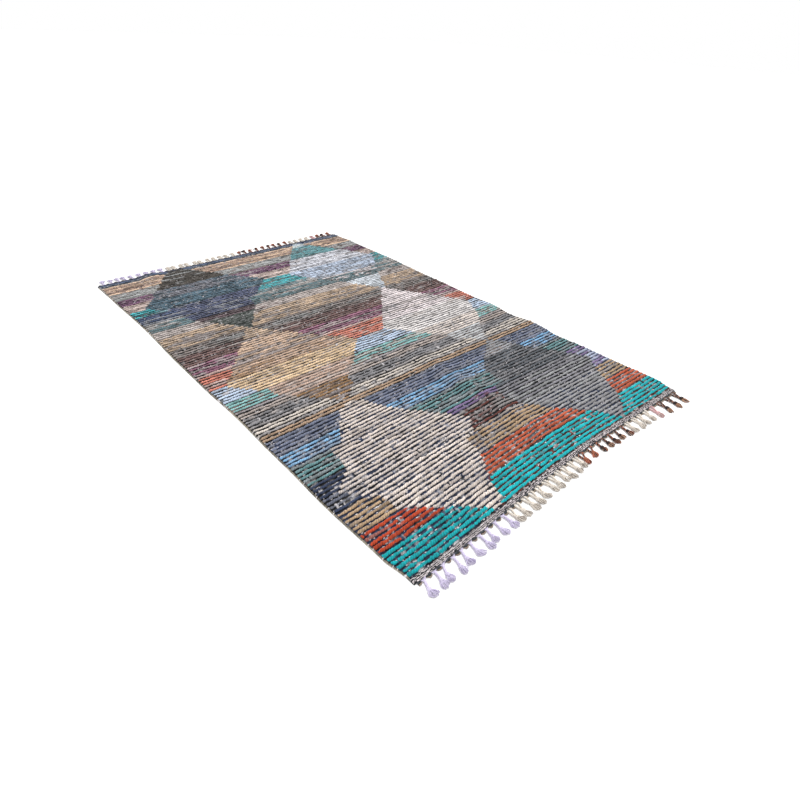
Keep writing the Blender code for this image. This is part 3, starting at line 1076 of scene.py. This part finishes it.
@dataclass(frozen=True)
class Run:
    """A run of like tassels along an end. Its places and sizes repeat the model's.

    Attributes:
        first: Where its first tassel is, as a share of the width.
        last: Where its last one is.
        count: The number of tassels.
        legs: 1 where a tassel hangs on one cord, 2 where two thin cords meet in its knot.
        half_spread: Half the distance between its two legs' roots.
        longest: Its longest tassel, from the strip's edge to the tip.
        first_lean: How far its first tassel leans to the right.
        last_lean: How far its last one does.
        yarns: The yarns of each tassel in turn: two for its cords, and all for its brush.
    """

    first: float
    last: float
    count: int
    legs: int
    half_spread: float
    longest: float
    first_lean: float
    last_lean: float
    yarns: tuple[tuple[Wool, ...], ...]

    @property
    def gap(self) -> float:
        """The distance from one tassel to the next."""
        return (self.last - self.first) / (self.count - 1) * CLOTH.width


LILAC_CORD = (Wool.LILAC, Wool.LILAC, Wool.LILAC, Wool.LILAC_SHADE)
UNDYED_CORD = (Wool.UNDYED, Wool.UNDYED, Wool.UNDYED, Wool.OATMEAL)
RED_CORD = (Wool.RUST, Wool.CHOCOLATE, Wool.TERRACOTTA, Wool.TERRACOTTA)
DARK_CORD = (Wool.CHOCOLATE, Wool.RUST, Wool.CAMEL, Wool.MOSS_BLACK)
PINK_CORD = (Wool.PINK, Wool.PINK, Wool.UNDYED)
COCOA_CORD = (Wool.CHOCOLATE, Wool.COCOA, Wool.CAMEL, Wool.CAMEL)
TAN_CORD = (Wool.CHOCOLATE, Wool.COCOA, Wool.CAMEL, Wool.CAMEL, Wool.PINK)

NEAR_RUNS = (
    Run(0.022, 0.250, 10, 1, 0.0, 0.071, -0.021, -0.006, (LILAC_CORD,)),
    Run(0.275, 0.523, 11, 2, 0.009, 0.070, -0.004, -0.008, (UNDYED_CORD,)),
    Run(0.548, 0.584, 2, 2, 0.013, 0.060, -0.014, -0.016, (RED_CORD,)),
    Run(0.612, 0.722, 5, 1, 0.0, 0.065, -0.013, -0.011, (DARK_CORD, COCOA_CORD)),
    Run(0.748, 0.834, 4, 2, 0.010, 0.073, -0.014, -0.018, (UNDYED_CORD,)),
    Run(0.864, 0.978, 4, 2, 0.011, 0.084, -0.024, -0.002, (PINK_CORD, COCOA_CORD, COCOA_CORD, TAN_CORD)),
)
FAR_RUNS = (
    Run(0.022, 0.228, 9, 1, 0.0, 0.064, -0.006, -0.006, (LILAC_CORD,)),
    Run(0.254, 0.514, 11, 2, 0.009, 0.064, -0.004, -0.004, (UNDYED_CORD,)),
    Run(0.540, 0.756, 9, 1, 0.0, 0.064, 0.004, 0.004, (RED_CORD, DARK_CORD)),
    Run(0.784, 0.864, 4, 2, 0.009, 0.064, 0.0, 0.0, (UNDYED_CORD,)),
    Run(0.894, 0.978, 4, 2, 0.010, 0.064, 0.003, 0.003, (PINK_CORD, RED_CORD, TAN_CORD, RED_CORD)),
)
# The second colour streaked at random over each yarn where it isn't cocoa
STREAK_DYES = {
    Wool.LILAC: Wool.LILAC_SHADE,
    Wool.UNDYED: Wool.ROSE_GREY,
    Wool.OATMEAL: Wool.DRIFTWOOD,
    Wool.LILAC_SHADE: Wool.LILAC,
    Wool.BLACK: Wool.CHARCOAL,
    Wool.MOSS_BLACK: Wool.BLACK,
    Wool.CHOCOLATE: Wool.BLACK,
}


@dataclass
class Strand:
    """One strand of yarn: the places that it follows, and how thick it is at each."""

    places: np.ndarray
    radii: np.ndarray


@dataclass(frozen=True)
class Tassel:
    """One tassel, from its root at the strip's edge to its tip.

    Attributes:
        run: The run that it belongs to.
        yarns: The yarns of its cord's two plies, and then any others of its brush.
        root: Its root's X and Y in the model's frame.
        lift: How high the cloth is lifted there.
        out: The way that it points along Y: -1 at the near end and 1 at the far one.
        length: From the strip's edge to its tip.
        lean: How far its tip is to the right of its root.
        brush: The width of its brush, as a share of the widest.
        bulge: How far its middle bows to the right.
        knot: The knot's share of the length.
        landing: The share of the length over which it comes down to the floor.
    """

    run: Run
    yarns: tuple[Wool, ...]
    root: np.ndarray
    lift: float
    out: float
    length: float
    lean: float
    brush: float
    bulge: float
    knot: float = 0.60
    landing: float = 0.35

    @property
    def thick(self) -> float:
        """Half the thickness of one ply: two cords are thinner than one."""
        return 2.7 * MM if self.run.legs == 1 else 2.2 * MM

    @property
    def legs(self) -> tuple[float, ...]:
        """How far the root of each cord is to the right of the tassel's."""
        return (0.0,) if self.run.legs == 1 else (-self.run.half_spread, self.run.half_spread)

    def centre(self, share: np.ndarray, leg: float = 0.0) -> np.ndarray:
        """The middle line of a cord, or of the brush past the knot.

        Args:
            share: Shares of the length.
            leg: How far the cord's root is to the right of the tassel's.

        Returns:
            An array of shares by 3.
        """
        meet = np.clip(share / self.knot, 0.0, 1.0)
        bow = self.bulge * np.sin(math.pi * np.clip(share, 0, 1))
        x = self.root[0] + (leg * (1 - meet**1.5) + self.lean * share + bow)
        low = 2 * self.thick + 0.4 * MM
        z = low + (2.6 * MM + self.lift - low) * np.clip(1 - share / self.landing, 0.0, 1.0) ** 1.5
        return np.stack([x, self.root[1] + self.out * self.length * share, z], -1)


@dataclass
class FringeMaker:
    """Makes the tassels of one end.

    Attributes:
        name: What its pieces' names begin with.
        runs: Its tassels.
        seed: The seed of the model's own tassels, whose places these take.
        at_far_end: Whether it is the far end.
        shortest: The shortest tassel's share of its run's longest.
        lean_spread: How unlike one another they lean.
        narrowest: The narrowest brush's share of the widest.
        half_brush: How far the widest brush spreads to each side.
        turns: How often the plies of a cord turn round each other.
        root_threads: How many threads gather into one cord.
        root_height: How high they start over the strip's underside.
        root_radius: Half the thickness of one of them.
        brush_ends: How many loose ends a brush has.
        edge_dyes_and_shadow: The dark yarns between the roots, from the strip outwards; the last, in
            driftwood, is painted shadow on the floor.
        strands: The strands made so far, by dye.
    """

    name: str
    runs: tuple[Run, ...]
    seed: int
    at_far_end: bool
    shortest: float = 0.86
    lean_spread: float = 0.005
    narrowest: float = 0.82
    half_brush: float = 16.5 * MM
    turns: float = 2.4
    root_threads: int = 7
    root_height: float = 2.8 * MM
    root_radius: float = 0.75 * MM
    brush_ends: int = 28
    edge_dyes_and_shadow: tuple[Wool, ...] = (Wool.BLACK, Wool.BLACK, Wool.MOSS_BLACK, Wool.DRIFTWOOD)
    strands: dict[Wool, list[Strand]] = field(default_factory=dict)

    @property
    def out(self) -> float:
        """The way that the tassels point along Y."""
        return 1.0 if self.at_far_end else -1.0

    def add(self, dye: Wool, places: np.ndarray, radii: np.ndarray) -> None:
        """Adds a strand to the yarn of its dye."""
        self.strands.setdefault(dye, []).append(Strand(places, radii))

    def edge(self, across: float) -> tuple[np.ndarray, float]:
        """The strip's outer edge: its place on the floor, and how high the cloth is lifted there."""
        out = CLOTH.end_strip / CLOTH.pitch
        rib = CLOTH.rib_count + out if self.at_far_end else -out
        x, y, lift = CLOTH.places(np.array(across), np.array(rib))
        return np.array([float(x), float(y)]), float(lift)

    def tie_tassels(self) -> None:
        """Ties every tassel, with the same random draws as the model's."""
        model = random.Random(self.seed)
        own = random.Random(self.seed + 1)
        for run in self.runs:
            leans = np.linspace(run.first_lean, run.last_lean, run.count)
            for number, across in enumerate(np.linspace(run.first, run.last, run.count)):
                tassel = Tassel(
                    run,
                    run.yarns[number % len(run.yarns)],
                    *self.edge(float(across)),
                    self.out,
                    length=run.longest * model.uniform(self.shortest, 1.0),
                    lean=float(leans[number]) + model.uniform(-self.lean_spread, self.lean_spread),
                    brush=model.uniform(self.narrowest, 1.0),
                    bulge=own.uniform(-0.009, 0.005),
                )
                for leg in tassel.legs:
                    self.twist_cord(own, tassel, leg)
                self.wrap_knot(own, tassel)
                self.fan_brush(own, tassel)

    def twist_cord(self, chance: random.Random, tassel: Tassel, leg: float) -> None:
        """Twists one cord from its two plies, and gathers its threads from the strip's edge.

        Args:
            chance: Where the random numbers come from.
            tassel: Its tassel.
            leg: How far its root is to the right of the tassel's.
        """
        share = np.linspace(0.14, tassel.knot, 12)
        turn = 2 * math.pi * (share - share[0]) / (share[-1] - share[0]) * self.turns + chance.uniform(0, 6)
        line = tassel.centre(share, leg)
        plies = tassel.yarns[:2]
        for ply, dye in enumerate(plies):
            angle = turn + math.pi * ply
            offset = np.stack([np.cos(angle), np.zeros(len(angle)), np.sin(angle)], -1) * tassel.thick * 0.85
            self.add(dye, line + offset, np.full(len(share), tassel.thick))
        # The threads start under the strip, side by side along the gap, and end inside the cord
        part = np.linspace(0.0, 1.0, 5)
        reach = tassel.run.gap / 2 / tassel.run.legs * 0.92
        end = tassel.centre(np.array([0.18]), leg)[0]
        hidden = self.out * 2.0 * MM
        for thread in np.linspace(-1.0, 1.0, self.root_threads):
            start = tassel.root[0] + leg + thread * reach
            x = start + (end[0] - start) * part**0.55 + thread * 0.6 * MM
            y = tassel.root[1] - hidden + (end[1] - tassel.root[1] + hidden) * part
            z = self.root_height + tassel.lift + (end[2] - self.root_height - tassel.lift) * part
            z = z + 0.5 * MM * chance.uniform(-1, 1)
            radii = np.full(len(part), self.root_radius)
            self.add(plies[chance.randint(0, 1)], np.stack([x, y, z], -1), radii)

    def wrap_knot(self, chance: random.Random, tassel: Tassel) -> None:
        """Wraps a tassel's cord twice and a half round itself."""
        thick = tassel.thick * tassel.run.legs**0.5
        middle = tassel.centre(np.array([tassel.knot]))[0] + np.array([0.0, 0.0, 1.0 * MM])
        turns = np.linspace(0.0, 2.5, 20)
        angle = 2 * math.pi * turns + chance.uniform(0, 6)
        # A little wider than high, and nowhere under the floor
        radius = thick * 1.55
        x = middle[0] + radius * 1.25 * np.cos(angle)
        z = np.maximum(middle[2] + radius * np.sin(angle), thick * 1.05)
        y = middle[1] + (turns / turns[-1] - 0.5) * thick * 3.0
        self.add(tassel.yarns[0], np.stack([x, y, z], -1), np.full(len(turns), thick * 0.95))

    def fan_brush(self, chance: random.Random, tassel: Tassel) -> None:
        """Fans the loose ends of a tassel out past its knot, all hooked a little to the right."""
        share = np.linspace(0.0, 1.0, 5)
        hook = chance.uniform(0.0, 12.0) * MM
        for number in range(self.brush_ends):
            # -1 is the brush's left side and 1 its right, where the ends are shorter and lower
            fan = chance.uniform(-1.0, 1.0)
            reach = chance.uniform(0.90, 1.0) - 0.10 * fan * fan
            line = tassel.centre(tassel.knot + (reach - tassel.knot) * share)
            spread = self.half_brush * tassel.brush * fan * np.sin(share * math.pi * 0.66) ** 0.9
            wave = chance.uniform(-1.0, 1.0) * 1.3 * MM * np.sin(share * math.pi * 2)
            top = chance.uniform(1.2, 7.5) * MM * (1 - fan * fan * 0.6)
            line[:, 0] += spread + wave + hook * share**1.5
            raised = line[:, 2] * (1 - share) + top * np.sin(share * math.pi * 0.7 + 0.6)
            line[:, 2] = np.maximum(raised, 1.25 * MM)
            line[-1, 2] = chance.uniform(1.0, 2.6) * MM
            self.add(tassel.yarns[number % len(tassel.yarns)], line, np.linspace(1.15, 0.75, 5) * MM)

    def lay_edge_yarn_and_shadow(self) -> None:
        """Lays the dark yarns that show in tufts between the tassels' roots, and past them a driftwood row of
        painted shadow on the floor.
        """
        chance = random.Random(self.seed + 2)
        roots = np.concatenate([np.linspace(run.first, run.last, run.count) for run in self.runs])
        # Each row lies further out and lower; the last, driftwood row is painted shadow on the floor beside
        # the dark yarn
        for row, dye in enumerate(self.edge_dyes_and_shadow):
            places = []
            radii = []
            for across in np.linspace(0.006, 0.994, 220):
                # A lump is 0 at a root, and 1 where the next root is 13 mm away or more
                nearest = float(np.abs(roots - across).min()) * CLOTH.width
                edge, lift = self.edge(float(across))
                lump = min(1.0, nearest / (13.0 * MM)) ** (1 + row)
                radius = (0.7 + 1.5 * lump * chance.uniform(0.8, 1.1)) * MM
                y = edge[1] + self.out * (1.0 + 2.9 * row * lump) * MM
                places.append((edge[0], y, lift * (1 - 0.3 * row) + max((2.8 - 0.4 * row) * MM, radius)))
                radii.append(radius)
            self.add(dye, np.array(places), np.array(radii))

    def build(self) -> list[bpy.types.Object]:
        """Makes one joined piece of all strands of each dye.

        Returns:
            The new objects.
        """
        self.tie_tassels()
        self.lay_edge_yarn_and_shadow()
        pieces = []
        for dye, strands in self.strands.items():
            name = f"{self.name}_{dye.name.lower()}_yarn"
            shade = STREAK_DYES.get(dye, Wool.COCOA)
            finish = SpunYarn(name=f"spun_{dye.name.lower()}_wool", dye=dye, shade=shade)
            pieces.append(yarn_piece(name, strands, finish))
        return pieces


def yarn_piece(name: str, strands: list[Strand], finish: Finish) -> bpy.types.Object:
    """Makes one mesh of many strands of yarn.

    Args:
        name: The piece's name.
        strands: Its strands.
        finish: The finish that it gets.

    Returns:
        The new object.
    """
    curve = bpy.data.curves.new(name + "_lines", "CURVE")
    curve.dimensions = "3D"
    curve.bevel_depth = 1.0
    curve.bevel_resolution = 1
    curve.use_fill_caps = True
    for strand in strands:
        spline = curve.splines.new("POLY")
        spline.points.add(len(strand.places) - 1)
        spline.points.foreach_set("co", np.hstack([strand.places, np.ones((len(strand.places), 1))]).ravel())
        spline.points.foreach_set("radius", strand.radii.astype(np.float32))
    lines = placed(name + "_lines", curve)
    depsgraph = bpy.context.evaluated_depsgraph_get()
    mesh = bpy.data.meshes.new_from_object(lines.evaluated_get(depsgraph))
    bpy.data.objects.remove(lines, do_unlink=True)
    mesh.name = name
    bm = bmesh.new()
    bm.from_mesh(mesh)
    bmesh.ops.remove_doubles(bm, verts=bm.verts, dist=0.01 * MM)
    bmesh.ops.recalc_face_normals(bm, faces=bm.faces)
    for face in bm.faces:
        face.smooth = True
    bm.to_mesh(mesh)
    bm.free()
    mesh.materials.clear()
    mesh.materials.append(finish.material())
    piece = placed(name, mesh)
    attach(piece, BODY)
    log.info("%s: %d strands, %d points", name, len(strands), len(mesh.vertices))
    return piece


@dataclass
class Rug:
    """The whole rug: its ribbed field in four lengths, and its two ends.

    Attributes:
        joins: The ribs between which the field's lengths meet.
    """

    joins: tuple[int, ...] = (0, 33, 65, 98, 130)

    def build_field(self) -> None:
        """Makes the ribbed field, whose lengths meet in the ground between two ribs."""
        weave = RibWeaver().weave()
        wool = RibbedWool("handspun_wool_ribs")
        for number, (first, last) in enumerate(zip(self.joins, self.joins[1:])):
            piece = WovenPiece(f"ribbed_field_{number + 1}", first, last, weave.part(first, last)).build(wool)
            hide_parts("rug_field")

    def build_end(
        self, name: str, node: str, start: float, wefts: tuple[Weft, ...], fringe: FringeMaker
    ) -> None:
        """Makes one end: its plain-woven strip and its tassels.

        Args:
            name: The strip's name.
            node: The model's node that the end replaces.
            start: The rib number at which the strip begins.
            wefts: The strip's wefts, from the near end on.
            fringe: The maker of its tassels.
        """
        end = start + CLOTH.end_strip / CLOTH.pitch
        weave = StripWeaver(start, wefts).weave()
        piece = WovenPiece(name, start, end, weave, floor=1.0, ground=3.4 * MM)
        strip = piece.build(RibbedWool("handspun_wool_ribs"))
        tassels = fringe.build()
        for piece in [strip, *tassels]:
            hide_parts(node)

    def build(self) -> None:
        """Makes the rug."""
        strip = CLOTH.end_strip / CLOTH.pitch
        self.build_field()
        near = FringeMaker("near_tassels", NEAR_RUNS, seed=11, at_far_end=False)
        far = FringeMaker("far_tassels", FAR_RUNS, seed=23, at_far_end=True)
        self.build_end("near_end_strip", "near_fringe", -strip, NEAR_WEFTS, near)
        self.build_end("far_end_strip", "far_fringe", float(CLOTH.rib_count), FAR_WEFTS[::-1], far)


@dataclass
class Studio:
    """A white floor, soft light and the photograph's viewpoint.

    Attributes:
        lens: The camera's focal length, for a sensor 36 mm wide.
        stand: The camera's place from the middle of the cloth, in metres.
        right: The direction that is right in the picture.
        down: The direction that is down in it.
        ahead: The direction in which the camera looks.
        sky_place: Where the soft light comes from.
        sky_energy: How strong it is.
        sky_width: How wide it is, in degrees.
    """

    lens: float = 24.708
    stand: tuple[float, float, float] = (-1.42812, -1.80665, 1.22308)
    right: tuple[float, float, float] = (0.74277859, -0.66777814, 0.04850078)
    down: tuple[float, float, float] = (-0.35208399, -0.45118738, -0.82004074)
    ahead: tuple[float, float, float] = (0.56948822, 0.59203236, -0.57024632)
    sky_place: tuple[float, float, float] = (0.5, 0.7, 1.0)
    sky_energy: float = 2.4
    sky_width: float = 32.0

    def place_camera(self) -> None:
        """Puts the camera where the photograph was taken from."""
        data = bpy.data.cameras.new("photo_camera")
        data.lens = self.lens
        data.sensor_width = 36.0
        camera = placed("photo_camera", data)
        up, back = ([-part for part in way] for way in (self.down, self.ahead))
        turn = Matrix((self.right, up, back)).transposed()
        shift = CLOTH.frame_shift()
        place = Vector(self.stand) + Vector((shift[0], shift[1], 0.0))
        camera.matrix_world = Matrix.Translation(place) @ turn.to_4x4()
        bpy.context.scene.camera = camera

    def lay_floor(self) -> None:
        """Lays the floor, just under the rug."""
        bm = bmesh.new()
        bmesh.ops.create_grid(bm, x_segments=1, y_segments=1, size=30.0)
        bmesh.ops.translate(bm, verts=bm.verts, vec=(0.0, 0.0, -0.2 * MM))
        mesh = bpy.data.meshes.new("floor")
        bm.to_mesh(mesh)
        bm.free()
        mesh.materials.append(PaleFloor("white_painted_floor", roughness=0.8, sheen=0.0).material())
        floor = placed("floor", mesh)

    def light(self) -> None:
        """Lights the rug softly, from above and a little from its far right."""
        data = bpy.data.lights.new("soft_sky", "SUN")
        data.energy = self.sky_energy
        data.angle = math.radians(self.sky_width)
        sky = placed("soft_sky", data)
        sky.matrix_world = Vector(self.sky_place).to_track_quat("Z", "Y").to_matrix().to_4x4()
        world = bpy.data.worlds.new("white_room")
        bpy.context.scene.world = world
        world.use_nodes = True
        background = world.node_tree.nodes["Background"]
        background.inputs["Color"].default_value = (1.0, 1.0, 1.0, 1.0)
        background.inputs["Strength"].default_value = 1.0
        bpy.context.scene.view_settings.view_transform = "Standard"

    def set_up(self) -> None:
        """Sets up the floor, the light and the camera."""
        self.lay_floor()
        self.light()
        self.place_camera()


def main() -> None:
    """Sets up the studio and makes the rug."""
    logging.basicConfig(level=logging.INFO, format="%(message)s")
    Studio().set_up()
    Rug().build()


if __name__ == "__main__":
    main()
